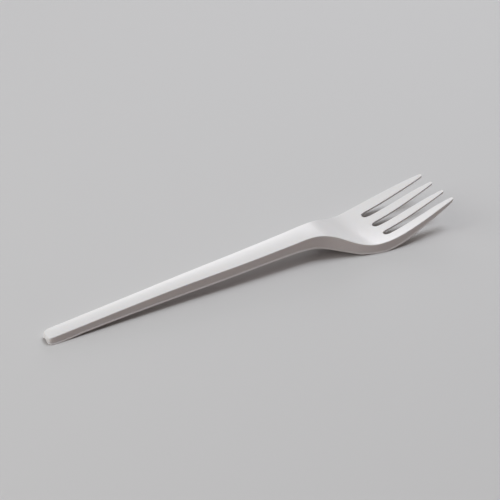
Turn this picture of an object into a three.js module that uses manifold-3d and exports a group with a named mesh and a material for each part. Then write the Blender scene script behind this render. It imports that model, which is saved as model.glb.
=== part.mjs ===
// A moulded plastic table fork: a hollow-backed handle, a raised neck and a dished head with four tines.
// Sizes are millimetres. The fork lies as on a table, its length along X, its width along Y, its top up.
// Stations along the fork are measured from the handle end and the finished body is centred at the end.

import * as THREE from 'three';
import { mergeVertices } from 'three/addons/utils/BufferGeometryUtils.js';
import Module from 'manifold-3d';

// Lengths along the fork
const handleLength = 104.85;     // handle end to the crest of the neck
const headLength = 59.35;        // crest of the neck to the tips of the tines
const tineLength = 29.65;        // bottom of a slot to the tips
const heelLength = 4.7;          // level stretch of the rim under the handle end
const heelBlend = 8;             // the rim's quick rise behind the heel
const shoulderStart = 4;         // the widening of the head starts this far before the crest
const widestFromTips = 26.35;    // widest place of the head
const bowlFromCrest = 23.5;      // lowest place of the head's top edge
const footLength = 4;            // level stretch of the rim that carries the head
const footFromCrest = 22.2;      // where that stretch starts
const footLead = 4.8;            // the gentler slope before it

// Heights over the table
const handleEndHeight = 2.6;
const handleMiddleHeight = 6.76;
const handleUpperHeight = 8.32;  // three quarters of the way to the crest
const neckHeight = 9.71;         // where the handle starts to round over into the neck
const crestHeight = 10.3;
const bowlHeight = 3.75;
const tipHeight = 12;
const heelRimHeight = 0.85;      // the rim at the end of its quick rise
const neckRimHeight = 5.6;       // highest place of the rim
const footLeadHeight = 0.42;
const tipThickness = 0.9;

// Widths over the top edges
const handleEndWidth = 5.7;
const handleLowerWidth = 5.95;   // a third of the way along
const handleMiddleWidth = 6.9;
const handleUpperWidth = 8;      // three quarters of the way to the crest
const neckWidth = 8.75;
const headWidth = 26.3;
const tipsWidth = 21.2;          // over the outer edges of the outer tines

// Tines and slots
const tineRootWidth = 4.2;
const tineTipWidth = 1.5;
const tipBluntness = 0.8;        // 1 ends a tine in a half circle, less makes it squarer
const outerTineSetBack = 0.25;   // the outer tines end this far short of the inner ones
const innerTineSpacing = 7.1;    // between the middles of the two inner tines
const outerSlotWidth = 2.9;      // at its bottom
const tineEdgeBreak = 0.16;      // bevel along the top edges of the tines
const tineLowerBevel = 0.15;     // bevel along their lower edges
const tineDraft = 0.06;

// Wall thicknesses
const webThickness = 1.6;        // the top of the handle and the palm of the head
const skirtThickness = 1.3;
const endWallThickness = 1.5;

// Roundings, drafts and the lip along the rim
const topEdgeRadius = 0.35;
const endTopRadius = 1.7;        // handle end, seen from the side
const endCornerRadius = 1.7;     // handle end, seen from above
const coreCornerRadius = 0.5;
const skirtDraft = 0.08;
const coreDraft = 0.12;
const lipWidth = 0.28;
const lipHeight = 0.26;

// Crown of the handle's top (up) and dish of the head (down), in the middle of the width
const handleCrown = 0.28;
const dishDepth = 1;
const tipDish = 0.35;

// Gate recess in the rim of the end wall
const notchWidth = 3.9;
const notchHeight = 1.05;

// Fineness of the facets
const coarseStep = 7;
const fineStep = 1.5;
const cornerSteps = 5;
const slotArcSteps = 8;
const tineEdgeSteps = 9;

const whitePlastic = 0xe9e8e6;

// Sizes that follow from the ones above
const forkLength = handleLength + headLength;
const slotBottom = forkLength - tineLength;
const tipRadius = tineTipWidth / 2;
const tipCentre = forkLength - tipRadius;
const innerTine = innerTineSpacing / 2;
const outerTineInnerEdge = innerTine + tineRootWidth / 2 + outerSlotWidth;
const outerTip = tipsWidth / 2 - tipRadius;
const outerTipCentre = tipCentre - outerTineSetBack;
const overrun = 2;

// A smooth curve through points in rising order, level at its own peaks and straight on past its ends
function curveThrough(points) {
  const rises = points.slice(1).map(([x, y], i) => (y - points[i][1]) / (x - points[i][0]));
  const slopes = points.map((point, i) => {
    const before = rises[Math.max(i - 1, 0)];
    const after = rises[Math.min(i, rises.length - 1)];
    return before * after > 0 ? (2 * before * after) / (before + after) : 0;
  });
  return (x) => {
    const last = points.length - 1;
    if (x <= points[0][0]) return points[0][1] + slopes[0] * (x - points[0][0]);
    if (x >= points[last][0]) return points[last][1] + slopes[last] * (x - points[last][0]);
    const i = points.findIndex((point) => point[0] > x) - 1;
    const [x0, y0] = points[i];
    const [x1, y1] = points[i + 1];
    const t = (x - x0) / (x1 - x0);
    const startPull = slopes[i] * (x1 - x0) * t * (1 - t) * (1 - t);
    const endPull = slopes[i + 1] * (x1 - x0) * t * t * (t - 1);
    return y0 + (y1 - y0) * t * t * (3 - 2 * t) + startPull + endPull;
  };
}

// Points between two places, given as shares of the way along and of the change
function between([x0, y0], [x1, y1], shares) {
  return shares.map(([along, change]) => [x0 + along * (x1 - x0), y0 + change * (y1 - y0)]);
}

const crest = [handleLength, crestHeight];
const bowl = [handleLength + bowlFromCrest, bowlHeight];
const tip = [forkLength, tipHeight];

// Height of the top edges, seen from the side
const topEdge = curveThrough([
  [0, handleEndHeight],
  [0.5 * handleLength, handleMiddleHeight],
  [0.75 * handleLength, handleUpperHeight],
  [0.925 * handleLength, neckHeight],
  crest,
  ...between(crest, bowl, [[0.17, 0.05], [0.34, 0.21], [0.68, 0.757], [0.85, 0.94]]),
  bowl,
  ...between(bowl, tip, [[0.18, 0.084], [0.35, 0.24], [0.8, 0.778]]),
  tip,
]);

// Height of the rim: level at the heel, up along the handle, down below the neck, level again at the foot
const heelEnd = [heelLength + heelBlend, heelRimHeight];
const neckRim = [0.95 * handleLength, neckRimHeight];
const footStart = handleLength + footFromCrest;
const footEnd = [footStart + footLength, 0];
const leadStart = [footStart - footLead, footLeadHeight];
const tipRim = [forkLength, tipHeight - tipThickness];

const handleRim = curveThrough([
  [0, 0],
  [heelLength, 0],
  heelEnd,
  ...between(heelEnd, neckRim, [[0.14, 0.16], [0.6, 0.61]]),
  neckRim,
  ...between(neckRim, leadStart, [[0.23, 0.04], [0.37, 0.16], [0.5, 0.335]]),
  leadStart,
]);

const headRim = curveThrough([
  leadStart,
  ...between(leadStart, [footStart, 0], [[0.6, 0.25]]),
  [footStart, 0],
  footEnd,
  ...between(footEnd, tipRim, [[0.18, 0.094], [0.3, 0.2], [0.545, 0.5], [0.79, 0.755]]),
  tipRim,
]);

function rimHeight(s) {
  return s < leadStart[0] ? handleRim(s) : headRim(s);
}

// Half of the width over the top edges, seen from above, before the handle end is rounded
const shoulder = [handleLength - shoulderStart, neckWidth / 2];
const widest = [forkLength - widestFromTips, headWidth / 2];
const tipsEdge = [forkLength, tipsWidth / 2];

const halfWidth = curveThrough([
  [0, handleEndWidth / 2],
  [0.3 * handleLength, handleLowerWidth / 2],
  [0.55 * handleLength, handleMiddleWidth / 2],
  [0.75 * handleLength, handleUpperWidth / 2],
  shoulder,
  ...between(shoulder, widest, [[0.1, 0.025], [0.22, 0.11], [0.43, 0.44], [0.65, 0.8], [0.86, 0.975]]),
  widest,
  ...between(widest, tipsEdge, [[0.42, 0.22], [0.73, 0.58]]),
  tipsEdge,
]);

// How far the middle of the top stands above its edges; below zero where the head is dished
const crown = curveThrough([
  [0, handleCrown],
  [0.85 * handleLength, handleCrown],
  [handleLength + 0.5 * bowlFromCrest, 0],
  [slotBottom + 0.2 * tineLength, -dishDepth],
  [forkLength, -tipDish],
]);

const thickness = curveThrough([
  [handleLength, webThickness],
  [slotBottom, webThickness],
  [forkLength, tipThickness],
]);

// How far the middle of the raw body's underside hangs below the rim, all of it taken away by the hollow
const underHang = curveThrough([
  footEnd,
  [slotBottom + 0.3 * tineLength, dishDepth],
  [forkLength + 1, dishDepth],
]);

function slopeOf(curve, s) {
  return (curve(s + 0.05) - curve(s - 0.05)) / 0.1;
}

// The top rounds down to the end wall of the handle
function endDrop(s) {
  if (s >= endTopRadius) return 0;
  const along = endTopRadius - Math.max(s, 0);
  return endTopRadius - Math.sqrt(endTopRadius ** 2 - along ** 2);
}

function topSurface(s, y) {
  const share = Math.min(Math.abs(y) / halfWidth(s), 1.2);
  return topEdge(s) - endDrop(s) + crown(s) * (1 - share ** 2);
}

function webUnderside(s, y) {
  const tilt = Math.hypot(1, slopeOf(topEdge, s));
  return topSurface(s, y) - thickness(Math.max(s, handleLength)) * tilt;
}

// Stations round the corners of a body's first end, each with its half width and its side direction.
// The lip fades out as it comes round to the end wall.
function cornerStations(start, radius, widthAt) {
  const stations = [];
  const reach = widthAt(start + radius) - radius;
  for (let i = 0; i < cornerSteps; i++) {
    const turn = (i / cornerSteps) * (Math.PI / 2);
    stations.push({
      s: start + radius * (1 - Math.cos(turn)),
      half: reach + radius * Math.sin(turn),
      side: [-Math.cos(turn), Math.sin(turn)],
      lipShare: Math.sin(turn),
    });
  }
  return stations;
}

// Stations along a whole body, close together where it curves and far apart along the handle
function stationsAlong(start, end, cornerRadius, widthAt) {
  const neckStart = shoulder[0] - shoulderStart;
  const stretches = [
    [start + cornerRadius, heelLength, fineStep],
    [heelLength, heelEnd[0], fineStep],
    [heelEnd[0], neckStart, coarseStep],
    [neckStart, leadStart[0], fineStep],
    [leadStart[0], footStart, fineStep],
    [footStart, footEnd[0], fineStep],
    [footEnd[0], end, fineStep],
  ];
  const stations = cornerStations(start, cornerRadius, widthAt);
  for (const [from, to, step] of stretches) {
    const count = Math.ceil((to - from) / step);
    for (let i = 0; i < count; i++) stations.push(plainStation(from + (i / count) * (to - from), widthAt));
  }
  stations.push(plainStation(end, widthAt));
  return stations;
}

function plainStation(s, widthAt) {
  const slope = slopeOf(widthAt, s);
  const length = Math.hypot(slope, 1);
  return { s, half: widthAt(s), side: [-slope / length, 1 / length], lipShare: 1 };
}

// Half a cross-section of the outside, from the middle of the underside up to the middle of the top
function outsideSection({ s, half, side, lipShare }) {
  const edge = topEdge(s) - endDrop(s);
  const rim = rimHeight(s);
  const depth = edge - rim;
  const radius = Math.min(topEdgeRadius, 0.3 * depth);
  const fade = Math.min(1, depth / (3 * tipThickness));
  const lip = lipHeight * fade;
  const reach = skirtDraft + lipWidth * fade * lipShare;
  const hang = s > footEnd[0] ? underHang(s) : 0;
  const flatFrom = hollowHalfWidth(s) - 2 * coreDraft;
  const shoulderHeight = edge + crown(s) * (1 - (1 - radius / half) ** 2);
  const out = (offset, z) => [s + side[0] * offset, half + side[1] * offset, z];
  const rimPoint = out(reach, rim);
  const soft = radius * (1 - Math.SQRT1_2);
  return [
    [rimPoint[0], 0, rim - hang],
    [rimPoint[0], 0.9 * flatFrom, rim - hang],
    [rimPoint[0], flatFrom, rim],
    rimPoint,
    out(reach, rim + lip),
    out(skirtDraft, rim + 2 * lip),
    [s, half, shoulderHeight - radius],
    [s, half - soft, shoulderHeight - soft],
    [s, half - radius, shoulderHeight],
    ...[0.75, 0.5, 0.25, 0].map((share) => {
      const y = share * (half - radius);
      return [s, y, edge + crown(s) * (1 - (y / half) ** 2)];
    }),
  ];
}

// The hollow under the handle and the head leaves the web above it and the skirt around it
function hollowHalfWidth(s) {
  return halfWidth(s) - skirtThickness * Math.hypot(1, slopeOf(halfWidth, s));
}

function hollowSection({ s, half }) {
  const inner = half - coreDraft;
  const edge = webUnderside(s, inner);
  const soft = Math.min(coreCornerRadius, 0.4 * inner);
  return [
    [s, 0, -3],
    [s, half + coreDraft, -3],
    [s, inner, edge - soft],
    [s, inner - 0.3 * soft, edge - 0.3 * soft],
    ...[1, 0.66, 0.33, 0].map((share) => {
      const y = share * (inner - soft);
      return [s, y, webUnderside(s, y)];
    }),
  ];
}

// Skin over matching half sections mirrored to both sides, closed at both ends
function symmetricBody(sections) {
  const rings = sections.map((half) => {
    const mirrored = half.slice(1, -1).reverse().map(([x, y, z]) => [x, -y, z]);
    return [...half, ...mirrored];
  });
  const count = rings[0].length;
  const faces = [];
  for (let i = 0; i + 1 < rings.length; i++) {
    for (let k = 0; k < count; k++) {
      const a = i * count + k;
      const b = i * count + ((k + 1) % count);
      faces.push(a, b + count, a + count, a, b, b + count);
    }
  }
  faces.push(...ladderCap(0, count, false), ...ladderCap((rings.length - 1) * count, count, true));
  return geometryFrom(rings.flat(), faces);
}

// Closes a ring by rungs between its mirrored points
function ladderCap(first, count, facesForward) {
  const faces = [];
  for (let k = 0; k < count / 2; k++) {
    const a = first + k;
    const b = first + k + 1;
    const c = first + ((count - k - 1) % count);
    const d = first + ((count - k) % count);
    if (k > 0) faces.push(facesForward ? [a, b, d] : [a, d, b]);
    if (k + 1 < count / 2) faces.push(facesForward ? [b, c, d] : [b, d, c]);
  }
  return faces.flat();
}

function geometryFrom(points, faces) {
  const geometry = new THREE.BufferGeometry();
  geometry.setAttribute('position', new THREE.Float32BufferAttribute(points.flat(), 3));
  geometry.setIndex(faces);
  return geometry;
}

// A tine's taper against the distance from its tip: half the width of an inner tine, then the inner
// edge of an outer one
const tineHalfWidth = curveThrough(
  between([0, tipRadius], [tineLength, tineRootWidth / 2], [[0, 0], [0.22, 0.52], [0.5, 0.8], [1, 1]]),
);

const outerTineInside = curveThrough(between(
  [0, outerTip - tipRadius],
  [tineLength, outerTineInnerEdge],
  [[0, 0], [0.2, 0.85], [0.45, 1], [1, 1]],
));

function arc([s, y], radius, fromDegrees, toDegrees, steps) {
  const points = [];
  for (let i = 0; i <= steps; i++) {
    const angle = ((fromDegrees + (i / steps) * (toDegrees - fromDegrees)) * Math.PI) / 180;
    points.push([s + radius * Math.cos(angle), y + radius * Math.sin(angle)]);
  }
  return points;
}

// The end of a tine, a little squarer than an arc
function tineEnd([s, y], fromDegrees, toDegrees) {
  return arc([0, 0], 1, fromDegrees, toDegrees, slotArcSteps).map(([along, across]) => [
    s + tipRadius * Math.max(along, 0) ** tipBluntness,
    y + tipRadius * Math.sign(across) * Math.abs(across) ** tipBluntness,
  ]);
}

// Places along one edge of a tine, leaving out both ends
function tineEdge(yAt, start, end) {
  const points = [];
  for (let i = 1; i < tineEdgeSteps; i++) {
    const s = start + (i / tineEdgeSteps) * (end - start);
    points.push([s, yAt(tipCentre - s)]);
  }
  return points;
}

// Outline of the tines seen from above, from the outside of one outer tine to the middle slot
function tinesHalfOutline() {
  const tipTurn = 60;
  const tipStart = (tipTurn * Math.PI) / 180;
  const wayOut = 4 * tineTipWidth;
  const slotTop = outerTineInnerEdge;
  const slotSide = innerTine + tineRootWidth / 2;
  const slotRadius = (slotTop - slotSide) / 2;
  const middleRadius = innerTine - tineRootWidth / 2;
  const leave = [
    outerTipCentre + tipRadius * Math.cos(tipStart) - wayOut * Math.sin(tipStart),
    outerTip + tipRadius * Math.sin(tipStart) + wayOut * Math.cos(tipStart),
  ];
  const slotCentre = [slotBottom + slotRadius, (slotTop + slotSide) / 2];
  return [
    leave,
    ...tineEnd([outerTipCentre, outerTip], tipTurn, -90),
    ...tineEdge((d) => outerTineInside(d - outerTineSetBack), outerTipCentre, slotCentre[0]),
    ...arc(slotCentre, slotRadius, 90, 270, slotArcSteps),
    ...tineEdge((d) => innerTine + tineHalfWidth(d), slotCentre[0], tipCentre),
    ...tineEnd([tipCentre, innerTine], 90, -90),
    ...tineEdge((d) => innerTine - tineHalfWidth(d), tipCentre, slotBottom + middleRadius),
    ...arc([slotBottom + middleRadius, 0], middleRadius, 90, 180, slotArcSteps / 2),
  ];
}

// Moves the outline into the tines by a distance
function outlineInto(outline, distance) {
  return outline.map(([s, y], i) => {
    const before = outline[Math.max(i - 1, 0)];
    const after = outline[Math.min(i + 1, outline.length - 1)];
    const along = new THREE.Vector2(after[0] - before[0], after[1] - before[1]).normalize();
    return [s + along.y * distance, y - along.x * distance];
  });
}

// Everything in front of and between the tines, as a stack of outlines that follow the curved top
function betweenTines() {
  const half = tinesHalfOutline();
  const outline = [...half, ...half.slice(0, -1).reverse().map(([s, y]) => [s, -y])];
  const front = forkLength + 3 * overrun;
  const layers = [
    [2 * tineEdgeBreak, () => crestHeight + tipHeight],
    [2 * tineEdgeBreak, (s, y) => topSurface(s, y) + tineEdgeBreak],
    [0, (s, y) => topSurface(s, y) - tineEdgeBreak],
    [tineDraft, (s, y) => topSurface(s, y) - 0.8 * thickness(s)],
    [tineLowerBevel, (s, y) => topSurface(s, y) - 1.15 * thickness(s)],
    [tineLowerBevel, () => -3],
  ];
  const rings = layers.map(([distance, heightAt]) => {
    const ring = outlineInto(outline, distance);
    const edgeOfFront = Math.abs(ring[0][1]);
    ring.push([front, -edgeOfFront], [front, edgeOfFront]);
    return ring.map(([s, y]) => [s, y, heightAt(s, y)]);
  });
  return stackedBody(rings);
}

// Skin over a stack of closed rings of equal length, first ring on top
function stackedBody(rings) {
  const count = rings[0].length;
  const faces = [];
  for (let i = 0; i + 1 < rings.length; i++) {
    for (let k = 0; k < count; k++) {
      const a = i * count + k;
      const b = i * count + ((k + 1) % count);
      faces.push(a, b + count, b, a, a + count, b + count);
    }
  }
  const last = rings.length - 1;
  for (const [a, b, c] of flatTriangles(rings[0])) faces.push(a, b, c);
  for (const [a, b, c] of flatTriangles(rings[last])) {
    faces.push(last * count + a, last * count + c, last * count + b);
  }
  return geometryFrom(rings.flat(), faces);
}

function flatTriangles(ring) {
  const contour = ring.map(([s, y]) => new THREE.Vector2(s, y));
  return THREE.ShapeUtils.triangulateShape(contour, []);
}

// Arched recess through the lower edge of the end wall
function gateNotch() {
  const radius = ((notchWidth / 2) ** 2 + notchHeight ** 2) / (2 * notchHeight);
  const geometry = new THREE.CylinderGeometry(radius, radius, 2 * endWallThickness + 1, 40);
  geometry.rotateZ(Math.PI / 2);
  geometry.translate(0, 0, notchHeight - radius);
  return geometry;
}

const wasm = await Module();
wasm.setup();

function solid(geometry) {
  const bare = geometry.clone();
  bare.deleteAttribute('normal');
  bare.deleteAttribute('uv');
  const merged = mergeVertices(bare, 1e-5);
  return new wasm.Manifold(new wasm.Mesh({
    numProp: 3,
    vertProperties: new Float32Array(merged.attributes.position.array),
    triVerts: new Uint32Array(merged.index.array),
  }));
}

function forkBody() {
  const outside = stationsAlong(0, forkLength + overrun, endCornerRadius, halfWidth);
  const inside = stationsAlong(endWallThickness, forkLength + 2 * overrun, coreCornerRadius, hollowHalfWidth);
  return solid(symmetricBody(outside.map(outsideSection)))
    .subtract(solid(symmetricBody(inside.map(hollowSection))))
    .subtract(solid(betweenTines()))
    .subtract(solid(gateNotch()));
}

// The finished body, centred over the origin in length and width, standing on the table
function centredGeometry(body) {
  const mesh = body.getMesh();
  const geometry = new THREE.BufferGeometry();
  geometry.setAttribute('position', new THREE.Float32BufferAttribute(mesh.vertProperties, 3));
  geometry.setIndex(Array.from(mesh.triVerts));
  geometry.computeBoundingBox();
  const centre = geometry.boundingBox.getCenter(new THREE.Vector3());
  geometry.translate(-centre.x, -centre.y, -geometry.boundingBox.min.z);
  geometry.computeVertexNormals();
  return geometry;
}

const fork = new THREE.Mesh(
  centredGeometry(forkBody()),
  new THREE.MeshStandardMaterial({ color: whitePlastic, roughness: 0.45, metalness: 0 }),
);
fork.name = 'fork';

const part = new THREE.Group();
part.name = 'moulded_fork';
part.add(fork);

export default part;
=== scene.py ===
from bisect import bisect_right
from math import cos, hypot, radians, sin, sqrt

import bmesh
import bpy
from mathutils import Matrix, Vector


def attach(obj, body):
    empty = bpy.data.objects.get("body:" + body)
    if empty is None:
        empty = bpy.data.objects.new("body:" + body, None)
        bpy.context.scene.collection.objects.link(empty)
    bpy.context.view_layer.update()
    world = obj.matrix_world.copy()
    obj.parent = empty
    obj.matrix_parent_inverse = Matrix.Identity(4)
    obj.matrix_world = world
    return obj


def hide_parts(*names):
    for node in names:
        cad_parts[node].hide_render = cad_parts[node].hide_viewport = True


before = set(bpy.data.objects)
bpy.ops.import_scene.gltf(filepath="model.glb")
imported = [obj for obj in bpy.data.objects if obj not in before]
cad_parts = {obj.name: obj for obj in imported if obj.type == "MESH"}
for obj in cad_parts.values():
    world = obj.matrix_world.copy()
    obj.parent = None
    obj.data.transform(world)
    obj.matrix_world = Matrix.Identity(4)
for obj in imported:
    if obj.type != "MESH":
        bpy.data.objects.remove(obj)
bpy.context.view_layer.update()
scene = bpy.context.scene
scene.view_settings.view_transform = "Standard"


# Camera
# A long lens stands to the right of the handle end and looks down along the fork.
# Its place, its lens and the turn of the picture put the fork where the photograph has it.
camera_turn = radians(58.43)
camera_drop = radians(33.3)
camera_roll = radians(0.68)
camera_target = Vector((-0.001244, 0.0, 0.008))
camera_offset = Vector((0.000197, -0.001759, 0.5357))

ahead = Vector((
    cos(camera_turn) * cos(camera_drop),
    sin(camera_turn) * cos(camera_drop),
    -sin(camera_drop),
))
level_right = Vector((sin(camera_turn), -cos(camera_turn), 0.0))
level_up = level_right.cross(ahead)
right = cos(camera_roll) * level_right + sin(camera_roll) * level_up
up = cos(camera_roll) * level_up - sin(camera_roll) * level_right
place = camera_target - camera_offset.x * right - camera_offset.y * up - camera_offset.z * ahead

camera_data = bpy.data.cameras.new("camera")
camera_data.sensor_width = 36.0
camera_data.lens = 107.7
camera_data.clip_start = 0.01
camera_data.clip_end = 20.0
camera = bpy.data.objects.new("camera", camera_data)
camera.matrix_world = Matrix.Translation(place) @ Matrix((right, up, -ahead)).transposed().to_4x4()
scene.collection.objects.link(camera)
scene.camera = camera


# Floor
# A wide matt sheet of pale paper lies under the fork.
# What it throws back onto the fork is dimmer and warmer than what the camera sees of it.
floor_size = 0.8
floor_colour = (0.62, 0.62, 0.615, 1.0)
floor_bounce = (0.42, 0.36, 0.35, 1.0)

paper = bmesh.new()
bmesh.ops.create_grid(paper, x_segments=1, y_segments=1, size=floor_size)
floor_mesh = bpy.data.meshes.new("floor")
paper.to_mesh(floor_mesh)
paper.free()
floor = bpy.data.objects.new("floor", floor_mesh)
scene.collection.objects.link(floor)

floor_material = bpy.data.materials.new("pale_paper")
floor_material.use_nodes = True
nodes = floor_material.node_tree.nodes
links = floor_material.node_tree.links
floor_shader = nodes["Principled BSDF"]
floor_shader.inputs["Roughness"].default_value = 0.85
floor_shader.inputs["Specular IOR Level"].default_value = 0.2
ray = nodes.new("ShaderNodeLightPath")
seen = nodes.new("ShaderNodeMath")
seen.operation = "MAXIMUM"
paper_colour = nodes.new("ShaderNodeMix")
paper_colour.data_type = "RGBA"
paper_colour.inputs["A"].default_value = floor_bounce
paper_colour.inputs["B"].default_value = floor_colour
links.new(ray.outputs["Is Camera Ray"], seen.inputs[0])
links.new(ray.outputs["Is Glossy Ray"], seen.inputs[1])
links.new(seen.outputs[0], paper_colour.inputs["Factor"])
links.new(paper_colour.outputs["Result"], floor_shader.inputs["Base Color"])
floor_mesh.materials.append(floor_material)


# Lamps
# One broad soft lamp hangs overhead, two stand at the handle's end, one behind the head and a weak one
# beyond the tips. All aim at the middle of the fork, and its near walls are in shade.
def soft_lamp(name, size, watts, colour, stands_at):
    data = bpy.data.lights.new(name, "AREA")
    data.shape = "DISK"
    data.size = size
    data.energy = watts
    data.color = colour
    lamp = bpy.data.objects.new(name, data)
    aim = -Vector(stands_at)
    turn = aim.to_track_quat("-Z", "Y").to_matrix().to_4x4()
    lamp.matrix_world = Matrix.Translation(stands_at) @ turn
    scene.collection.objects.link(lamp)


soft_lamp("lamp_overhead", 0.5, 4.75, (0.88, 0.93, 1.0), (0.38, 0.05, 1.01))
soft_lamp("lamp_beyond_tips", 0.8, 1.9, (1.0, 0.99, 0.97), (0.8, 0.1, 0.7))
soft_lamp("lamp_handle_end", 0.9, 3.25, (1.0, 0.93, 0.91), (-0.75, 0.0, 0.8))
soft_lamp("lamp_low_end", 0.85, 4.2, (0.93, 1.0, 1.0), (-0.9, 0.3, 0.4))
soft_lamp("lamp_behind_head", 0.6, 2.25, (0.97, 0.95, 1.0), (0.45, 0.9, 0.35))


# Surroundings
# The room throws a little warm light onto the fork from all sides.
# The camera sees a pale grey backdrop in its place.
world = bpy.data.worlds.new("studio")
world.use_nodes = True
nodes = world.node_tree.nodes
links = world.node_tree.links
dim_room = nodes["Background"]
dim_room.inputs["Color"].default_value = (1.0, 0.77, 0.68, 1.0)
dim_room.inputs["Strength"].default_value = 0.08
backdrop = nodes.new("ShaderNodeBackground")
backdrop.inputs["Color"].default_value = (0.56, 0.56, 0.56, 1.0)
sight = nodes.new("ShaderNodeLightPath")
surround = nodes.new("ShaderNodeMixShader")
links.new(sight.outputs["Is Camera Ray"], surround.inputs[0])
links.new(dim_room.outputs["Background"], surround.inputs[1])
links.new(backdrop.outputs["Background"], surround.inputs[2])
links.new(surround.outputs["Shader"], nodes["World Output"].inputs["Surface"])
scene.world = world


# Fork
# One injection moulding of white plastic: a slim handle and a dished head with four tapered tines.
# The top is a web with a skirt hung round it, open below, and a fine lip runs along the skirt's rim.
# Sizes are millimetres and stations count from the handle end. The mesh is brought to metres at its end.
mm = 0.001
middle_station = 82.094
handle_length = 104.85
head_length = 59.35
fork_length = handle_length + head_length
heel_length = 4.7
heel_blend = 8.0
neck_start = handle_length - 8.0
shoulder_start = 4.0
bowl_from_crest = 23.5
foot_from_crest = 22.2
foot_length = 4.0
foot_lead = 4.8
widest_from_tips = 26.35
handle_end_height = 2.6
handle_middle_height = 6.76
handle_upper_height = 8.32
neck_height = 9.71
crest_height = 10.3
bowl_height = 3.75
tip_height = 12.0
heel_rim_height = 0.85
neck_rim_height = 5.6
foot_lead_height = 0.42
end_width = 5.7
handle_lower_width = 5.95
handle_middle_width = 6.9
handle_upper_width = 8.0
neck_width = 8.75
head_width = 26.3
tips_width = 21.2
handle_crown = 0.28
palm_dish = 1.0
tine_dish = 1.12
tip_dish = 0.35
tine_length = 29.65
slot_bottom = fork_length - tine_length
tine_root_width = 4.2
tine_tip_width = 1.5
tip_bluntness = 0.8
tip_radius = tine_tip_width / 2
tip_centre = fork_length - tip_radius
outer_set_back = 0.25
inner_tine_spacing = 7.1
inner_tine = inner_tine_spacing / 2
outer_slot_width = 2.9
outer_tine_inner_edge = inner_tine + tine_root_width / 2 + outer_slot_width
outer_tip = tips_width / 2 - tip_radius
slot_radius = outer_slot_width / 2
outer_slot = inner_tine + tine_root_width / 2 + slot_radius
web_thickness = 1.6
tine_root_thickness = 1.0
tip_thickness = 0.9
skirt_thickness = 1.3
end_wall_thickness = 1.5
end_top_radius = 1.7
end_corner_radius = 1.7
skirt_draft = 0.08
least_skirt = 0.55
lip_width = 0.277
lip_height = 0.26
lip_at_corners = 0.7
tine_draft = 0.06
tine_lower_bevel = 0.1
top_edge_round = 0.2
rim_round = 0.09
lip_crease = 0.8
edge_crease = 0.7
notch_width = 3.9
notch_height = 1.05


# A smooth curve through points in rising order, level at its own peaks and straight on past its ends
def curve_through(points):
    xs = [x for x, y in points]
    ys = [y for x, y in points]
    rises = [(ys[i + 1] - ys[i]) / (xs[i + 1] - xs[i]) for i in range(len(xs) - 1)]
    slopes = []
    for i in range(len(xs)):
        before = rises[max(i - 1, 0)]
        after = rises[min(i, len(rises) - 1)]
        slopes.append(2 * before * after / (before + after) if before * after > 0 else 0.0)

    def curve(x):
        if x <= xs[0]:
            return ys[0] + slopes[0] * (x - xs[0])
        if x >= xs[-1]:
            return ys[-1] + slopes[-1] * (x - xs[-1])
        i = bisect_right(xs, x) - 1
        step = xs[i + 1] - xs[i]
        t = (x - xs[i]) / step
        start_pull = slopes[i] * step * t * (1 - t) * (1 - t)
        end_pull = slopes[i + 1] * step * t * t * (t - 1)
        return ys[i] + (ys[i + 1] - ys[i]) * t * t * (3 - 2 * t) + start_pull + end_pull

    return curve


# Points between two places, given as shares of the way along and of the change
def between(start, end, shares):
    return [(start[0] + a * (end[0] - start[0]), start[1] + c * (end[1] - start[1])) for a, c in shares]


def slope_of(curve, s):
    reach = 0.05
    return (curve(s + reach) - curve(s - reach)) / (2 * reach)


# Height of the edges of the top
crest = (handle_length, crest_height)
bowl = (handle_length + bowl_from_crest, bowl_height)
tip = (fork_length, tip_height)
top_edge = curve_through([
    (0.0, handle_end_height),
    (0.5 * handle_length, handle_middle_height),
    (0.75 * handle_length, handle_upper_height),
    (0.925 * handle_length, neck_height),
    crest,
    *between(crest, bowl, [(0.17, 0.05), (0.34, 0.21), (0.68, 0.757), (0.85, 0.94)]),
    bowl,
    *between(bowl, tip, [(0.18, 0.084), (0.35, 0.24), (0.8, 0.778)]),
    tip,
])

# Height of the rim, in two curves so that the level foot under the head has a clear start
heel_end = (heel_length + heel_blend, heel_rim_height)
neck_rim = (0.95 * handle_length, neck_rim_height)
foot_start = (handle_length + foot_from_crest, 0.0)
foot_end = (foot_start[0] + foot_length, 0.0)
lead_start = (foot_start[0] - foot_lead, foot_lead_height)
tip_rim = (fork_length, tip_height - tip_thickness)
handle_rim = curve_through([
    (0.0, 0.0),
    (heel_length, 0.0),
    heel_end,
    *between(heel_end, neck_rim, [(0.14, 0.16), (0.6, 0.61)]),
    neck_rim,
    *between(neck_rim, lead_start, [(0.23, 0.04), (0.37, 0.16), (0.5, 0.335)]),
    lead_start,
])
head_rim = curve_through([
    lead_start,
    *between(lead_start, foot_start, [(0.6, 0.25)]),
    foot_start,
    foot_end,
    *between(foot_end, tip_rim, [(0.18, 0.094), (0.3, 0.2), (0.545, 0.5), (0.79, 0.755)]),
    tip_rim,
])


def rim_height(s):
    return handle_rim(s) if s < lead_start[0] else head_rim(s)


# Half of the width over the top's edges
shoulder = (handle_length - shoulder_start, neck_width / 2)
widest = (fork_length - widest_from_tips, head_width / 2)
tips_edge = (fork_length, tips_width / 2)
half_width = curve_through([
    (0.0, end_width / 2),
    (0.3 * handle_length, handle_lower_width / 2),
    (0.55 * handle_length, handle_middle_width / 2),
    (0.75 * handle_length, handle_upper_width / 2),
    shoulder,
    *between(shoulder, widest, [(0.1, 0.025), (0.22, 0.11), (0.43, 0.44), (0.65, 0.8), (0.86, 0.975)]),
    widest,
    *between(widest, tips_edge, [(0.42, 0.22), (0.73, 0.58)]),
    tips_edge,
])

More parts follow.
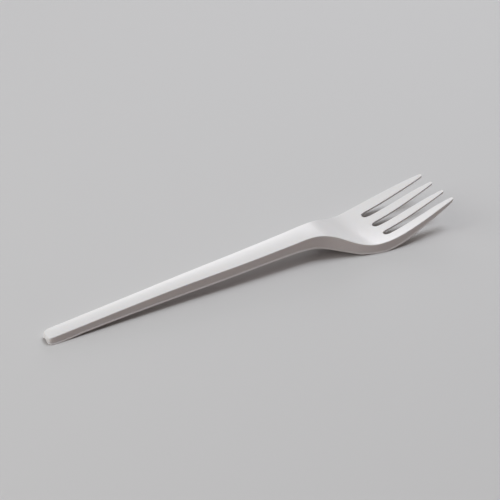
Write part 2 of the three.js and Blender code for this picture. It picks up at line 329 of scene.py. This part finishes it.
# How far the middle of the top lies over its edges, and in the dish of the head under them
crown = curve_through([
    (0.0, handle_crown),
    (0.85 * handle_length, handle_crown),
    (handle_length + 8.0, 0.0),
    (slot_bottom - 5.0, -palm_dish),
    (slot_bottom + 0.2 * tine_length, -tine_dish),
    (fork_length, -tip_dish),
])
thickness = curve_through([
    (handle_length, web_thickness),
    (slot_bottom - 8.0, web_thickness),
    (slot_bottom, tine_root_thickness),
    (fork_length, tip_thickness),
])

# Half of an inner tine's width and the inner edge of an outer tine, by the distance from the tip
tine_half_width = curve_through(between(
    (0.0, tip_radius),
    (tine_length, tine_root_width / 2),
    [(0, 0), (0.22, 0.52), (0.5, 0.8), (1, 1)],
))
outer_tine_inside = curve_through(between(
    (0.0, outer_tip - tip_radius),
    (tine_length, outer_tine_inner_edge),
    [(0, 0), (0.2, 0.85), (0.45, 1), (1, 1)],
))


# How far a surface is still drawn back by a quarter round, at a distance from where the round starts
def round_off(distance, radius):
    left = radius - min(max(distance, 0.0), radius)
    return radius - sqrt(radius ** 2 - left ** 2)


def crown_height(s, y):
    furthest_share = 1.2
    share = min(abs(y) / half_width(s), furthest_share)
    return crown(s) * (1 - share ** 2)


def top_height(s, y):
    return top_edge(s) - round_off(s, end_top_radius) + crown_height(s, y)


def web_underside(s, y):
    tilt = hypot(1, slope_of(top_edge, s))
    return top_edge(s) + crown_height(s, y) - thickness(max(s, handle_length)) * tilt


def skirt_line(s):
    return half_width(s) - skirt_thickness * hypot(1, slope_of(half_width, s))


# Lanes run along the fork, counted from the middle: both edges and the middle of an inner tine, the
# middle of the outer slot, the inner edge and middle of an outer tine, the skirt's inside, the outer edge.
slot_edge, inner_middle, inner_outside, slot_middle = range(1, 5)
outer_inside, outer_middle, skirt_lane, edge_lane = range(5, 9)
lanes_settled = slot_bottom - 4.0


def lane_place(lane, s):
    if lane == edge_lane:
        return half_width(s) - round_off(s, end_corner_radius)
    reach = min(max(s, slot_bottom), tip_centre)
    from_tip = min(tip_centre - reach, tine_length)
    half = tine_half_width(from_tip)
    inside = outer_tine_inside(from_tip - outer_set_back)
    skirt = max(skirt_line(reach), inside + least_skirt * (half_width(reach) - inside))
    middle = (inside + skirt) / 2
    places = [0.0, inner_tine - half, inner_tine, inner_tine + half, outer_slot, inside, middle, skirt]
    if s >= slot_bottom:
        return places[lane]
    blend = min(max((s - neck_start) / (lanes_settled - neck_start), 0.0), 1.0)
    blend = blend * blend * (3 - 2 * blend)
    return skirt_line(s) * ((1 - blend) * lane / skirt_lane + blend * places[lane] / places[skirt_lane])


# The rows of the mesh stand at these stations, closer where the fork bends more
def spread(start, end, step):
    count = max(1, round((end - start) / step))
    return [start + (end - start) * i / count for i in range(count)]


slot_side = slot_bottom + slot_radius
before_slot = slot_bottom - 1.4
before_tip = tip_centre - 1.0
stations = [0.0]
stations += spread(end_wall_thickness, heel_length, 1.5)
stations += spread(heel_length, heel_end[0], 2.7)
stations += spread(heel_end[0], neck_start, 6.0)
stations += spread(neck_start, before_slot, 1.8)
stations += [before_slot, slot_bottom]
stations += spread(slot_side, before_tip, 2.2)
stations += [before_tip, tip_centre, fork_length]
last_row = len(stations) - 1
slot_row = stations.index(slot_bottom)
skirt_last_row = last_row - 1

plastic = bmesh.new()
row_of = plastic.verts.layers.int.new("row")
lane_of = plastic.verts.layers.int.new("lane")
level_of = plastic.verts.layers.int.new("level")
inward_of = plastic.verts.layers.float_vector.new("inward")
bmesh.ops.create_grid(plastic, x_segments=last_row, y_segments=2 * edge_lane, size=1.0)
for vert in plastic.verts:
    vert[row_of] = round((vert.co.x + 1) / 2 * last_row)
    vert[lane_of] = round(vert.co.y * edge_lane)


# Smoothing pulls a corner of the mesh inwards, so corners a given angle apart are put this much outside
# their arc and its surface then comes to lie on the arc.
def arc_push(degrees_apart):
    return 3 / (2 + cos(radians(degrees_apart)))


def on_arc(centre, radius, degrees, degrees_apart):
    pushed = radius * arc_push(degrees_apart)
    return centre[0] + pushed * cos(radians(degrees)), centre[1] + pushed * sin(radians(degrees))


def tine_end(centre, y, degrees):
    across = sin(radians(degrees))
    return (centre + tip_radius * cos(radians(degrees)) ** tip_bluntness,
            y + tip_radius * (1 if across > 0 else -1) * abs(across) ** tip_bluntness)


# Degrees between neighbouring corners of the round ends
corner_step = 24
slot_step = 45
inner_tine_step = 45
outer_tine_step = 36


# Where a vertex of the flat sheet goes, seen from above, with the round ends put on their arcs
def plan_place(row, lane):
    s = stations[row]
    if lane >= outer_inside and s > slot_bottom:
        s -= outer_set_back * min((s - slot_bottom) / (tip_centre - slot_bottom), 1.0)
    y = lane_place(lane, s)
    if row == 0:
        if lane == edge_lane:
            corner = (end_corner_radius, end_width / 2 - end_corner_radius)
            return on_arc(corner, end_corner_radius, 135, corner_step)
        return round_off(end_width / 2 - y, end_corner_radius), y
    if row == slot_row:
        if lane <= slot_edge:
            return on_arc((slot_side, 0.0), slot_radius, 180 - slot_step * lane, slot_step)
        if inner_outside <= lane <= outer_inside:
            degrees = 180 - slot_step * (lane - slot_middle)
            return on_arc((slot_side, outer_slot), slot_radius, degrees, slot_step)
    if row == last_row:
        if slot_edge <= lane <= inner_outside:
            return tine_end(tip_centre, inner_tine, inner_tine_step * (lane - inner_middle))
        if lane >= outer_inside:
            middle = (outer_inside + edge_lane) / 2
            return tine_end(tip_centre - outer_set_back, outer_tip, outer_tine_step * (lane - middle))
    return s, y


for vert in plastic.verts:
    s, y = plan_place(vert[row_of], abs(vert[lane_of]))
    vert.co = (s, -y if vert[lane_of] < 0 else y, 0.0)


# The three slots are cut out of the sheet
def in_slot(face):
    rows = [vert[row_of] for vert in face.verts]
    lanes = sorted(abs(vert[lane_of]) for vert in face.verts)
    if min(rows) < slot_row:
        return False
    return lanes[-1] <= slot_edge or (lanes[0] >= inner_outside and lanes[-1] <= outer_inside)


slots = [face for face in plastic.faces if in_slot(face)]
bmesh.ops.delete(plastic, geom=slots, context="FACES")

# Each vertex on the outline keeps the direction that leads from it into the plastic
for vert in plastic.verts:
    rims = [edge for edge in vert.link_edges if edge.is_boundary]
    if len(rims) == 2:
        inward = Vector()
        for edge in rims:
            along = (edge.other_vert(vert).co - vert.co).normalized()
            face_middle = edge.link_faces[0].calc_center_median()
            side = Vector((-along.y, along.x, 0.0))
            inward += side if side.dot(face_middle - vert.co) > 0 else -side
        vert[inward_of] = inward.normalized()

# The top is curved, and its first row is drawn in and down where it rounds over into the end wall
corner_draw_in = 0.12
least_draw_in = 0.25
end_draw_in = end_top_radius * (1 - cos(radians(45)) * arc_push(45))
for vert in plastic.verts:
    if vert[row_of] == 0 and abs(vert[lane_of]) < edge_lane:
        crown_here = top_height(end_top_radius, vert.co.y) - top_edge(end_top_radius)
        vert.co.x = max(vert.co.x + least_draw_in, end_draw_in)
        vert.co.z = crown_here + top_edge(0.0) - end_draw_in
        continue
    if vert[row_of] == 0:
        vert.co.x += corner_draw_in
    vert.co.z = top_height(vert.co.x, vert.co.y)


# A lower copy of some faces, joined to the upper ones by walls, with its vertices marked by their level
def push_down(faces, level, keep):
    grown = bmesh.ops.extrude_face_region(plastic, geom=faces, use_keep_orig=keep)
    for item in grown["geom"]:
        if isinstance(item, bmesh.types.BMVert):
            item[level_of] = level
    if not keep:
        bmesh.ops.delete(plastic, geom=faces, context="FACES")
    return [item for item in grown["geom"] if isinstance(item, bmesh.types.BMFace)]


def notch_top(y):
    radius = ((notch_width / 2) ** 2 + notch_height ** 2) / (2 * notch_height)
    if abs(y) >= notch_width / 2:
        return 0.0
    return notch_height - radius + sqrt(radius ** 2 - y ** 2)


# Where a vertex of the lower levels goes. Levels 1 and 2 shape the web's walls and its underside and the
# upper part of the skirt. Levels 3, 4 and 5 are the skirt's foot, the top of the lip and the rim.
end_wall_depths = {1: 1.3, 2: 1.6}
skirt_shares = {1: 0.4, 2: 0.75}
tine_wall_share = 0.8
over_notch = {1: 0.0, 2: 0.22, 3: 0.12, 4: 0.05}
rim_clearance = 0.006
hidden_step = 0.02
thinnest_fade = 0.05


def place_below(vert):
    row, lane, level = vert[row_of], abs(vert[lane_of]), vert[level_of]
    side = -1 if vert[lane_of] < 0 else 1
    s, y = plan_place(row, lane)
    edge = top_edge(s)
    rim = rim_height(s)
    fade = min(1.0, max(thinnest_fade, ((edge - rim) / tip_thickness - 1) / 2))
    lip = lip_height * fade
    draft = skirt_draft * fade
    foot = rim + 2 * lip
    notch = notch_top(y) if row <= 1 else 0.0
    inward = Vector(vert[inward_of])
    if level == 5:
        height = max(rim, notch) + rim_clearance
    elif level > 2:
        height = max(foot if level == 3 else rim + lip, notch + over_notch[level])
    elif row == 0:
        height = max(edge - end_wall_depths[level], notch + over_notch[level])
    else:
        height = max(edge - skirt_shares[level] * (edge - foot), notch + over_notch[level])
    if row == 0 and lane < edge_lane:
        return Vector((s, side * y, height))
    if row == 0 or (lane == edge_lane and row <= skirt_last_row):
        reach = draft + lip_width * fade * (1.0 if row > 0 else lip_at_corners)
        out = {1: 0.0, 2: 0.5 * draft, 3: draft, 4: reach, 5: reach}[level]
        return Vector((s, side * y, height)) - inward * out
    if level == 1:
        height = top_height(s, y) - tine_wall_share * thickness(s)
        return Vector((s, side * y, height)) + inward * tine_draft
    if level == 2 and lane == edge_lane:
        return Vector((s, side * y, max(web_underside(s, y), rim))) - inward * skirt_draft * 0.5
    if level == 2:
        return Vector((s, side * y, web_underside(s, y))) + inward * tine_lower_bevel
    return Vector((s, side * y, min(height, web_underside(s, y) - hidden_step * (level - 2))))


middle_faces = push_down(list(plastic.faces), 1, True)
low_faces = push_down(middle_faces, 2, False)


def in_skirt(face):
    rows = [vert[row_of] for vert in face.verts]
    lanes = [abs(vert[lane_of]) for vert in face.verts]
    return max(rows) <= 1 or (min(lanes) >= skirt_lane and max(rows) <= skirt_last_row)


skirt_faces = [face for face in low_faces if in_skirt(face)]
for level in (3, 4, 5):
    skirt_faces = push_down(skirt_faces, level, False)
for vert in plastic.verts:
    if vert[level_of] > 0:
        vert.co = place_below(vert)

bmesh.ops.recalc_face_normals(plastic, faces=plastic.faces)


# The edges of the top and of the rim are broken by a small round
def outline_of(level, next_level):
    found = []
    for edge in plastic.edges:
        if all(vert[level_of] == level for vert in edge.verts):
            levels = [{vert[level_of] for vert in face.verts} for face in edge.link_faces]
            if {level} in levels and {level, next_level} in levels:
                found.append(edge)
    return found


def break_edges(edges, radius):
    return bmesh.ops.bevel(plastic, geom=edges, offset=radius, offset_type="OFFSET", affect="EDGES",
                           segments=2, profile=0.5, material=-1, clamp_overlap=True)


crease_of = plastic.edges.layers.float.new("crease_edge")
round_faces = set(break_edges(outline_of(0, 1), top_edge_round)["faces"])
for edge in plastic.edges:
    if sum(face in round_faces for face in edge.link_faces) == 1:
        edge[crease_of] = edge_crease
for edge in plastic.edges:
    levels = {vert[level_of] for vert in edge.verts}
    outside = all(abs(vert[lane_of]) == edge_lane or vert[row_of] == 0 for vert in edge.verts)
    if outside and levels in ({3}, {4}):
        edge[crease_of] = lip_crease
break_edges(outline_of(5, 4), rim_round)

for vert in plastic.verts:
    vert.co.x -= middle_station
bmesh.ops.scale(plastic, vec=(mm, mm, mm), verts=plastic.verts)
for face in plastic.faces:
    face.smooth = True
fork_mesh = bpy.data.meshes.new("moulded_fork")
plastic.to_mesh(fork_mesh)
plastic.free()
fork = bpy.data.objects.new("moulded_fork", fork_mesh)
scene.collection.objects.link(fork)
finish = fork.modifiers.new("smooth_moulding", "SUBSURF")
finish.levels = 2
finish.render_levels = 2

# Satin white plastic: barely uneven in colour and gloss, with the faint ripple of a moulded surface
white = bpy.data.materials.new("white_plastic")
white.use_nodes = True
nodes = white.node_tree.nodes
links = white.node_tree.links
shader = nodes["Principled BSDF"]
shader.inputs["IOR"].default_value = 1.49
shader.inputs["Subsurface Weight"].default_value = 0.12
shader.inputs["Subsurface Radius"].default_value = (1.0, 0.85, 0.7)
shader.inputs["Subsurface Scale"].default_value = 0.0012
where = nodes.new("ShaderNodeTexCoord")

drift = nodes.new("ShaderNodeTexNoise")
drift.inputs["Scale"].default_value = 55.0
drift.inputs["Detail"].default_value = 2.0
links.new(where.outputs["Object"], drift.inputs["Vector"])
tint = nodes.new("ShaderNodeMix")
tint.data_type = "RGBA"
tint.inputs["A"].default_value = (0.82, 0.817, 0.806, 1.0)
tint.inputs["B"].default_value = (0.85, 0.847, 0.837, 1.0)
links.new(drift.outputs["Fac"], tint.inputs["Factor"])
links.new(tint.outputs["Result"], shader.inputs["Base Color"])

haze = nodes.new("ShaderNodeTexNoise")
haze.inputs["Scale"].default_value = 160.0
haze.inputs["Detail"].default_value = 2.0
links.new(where.outputs["Object"], haze.inputs["Vector"])
gloss = nodes.new("ShaderNodeMapRange")
gloss.inputs["To Min"].default_value = 0.28
gloss.inputs["To Max"].default_value = 0.32
links.new(haze.outputs["Fac"], gloss.inputs["Value"])
links.new(gloss.outputs["Result"], shader.inputs["Roughness"])

ripple = nodes.new("ShaderNodeTexNoise")
ripple.inputs["Scale"].default_value = 1500.0
ripple.inputs["Detail"].default_value = 3.0
links.new(where.outputs["Object"], ripple.inputs["Vector"])
relief = nodes.new("ShaderNodeBump")
relief.inputs["Strength"].default_value = 0.25
relief.inputs["Distance"].default_value = 0.000001
links.new(ripple.outputs["Fac"], relief.inputs["Height"])
links.new(relief.outputs["Normal"], shader.inputs["Normal"])
fork_mesh.materials.append(white)

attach(fork, "root")
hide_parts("fork")
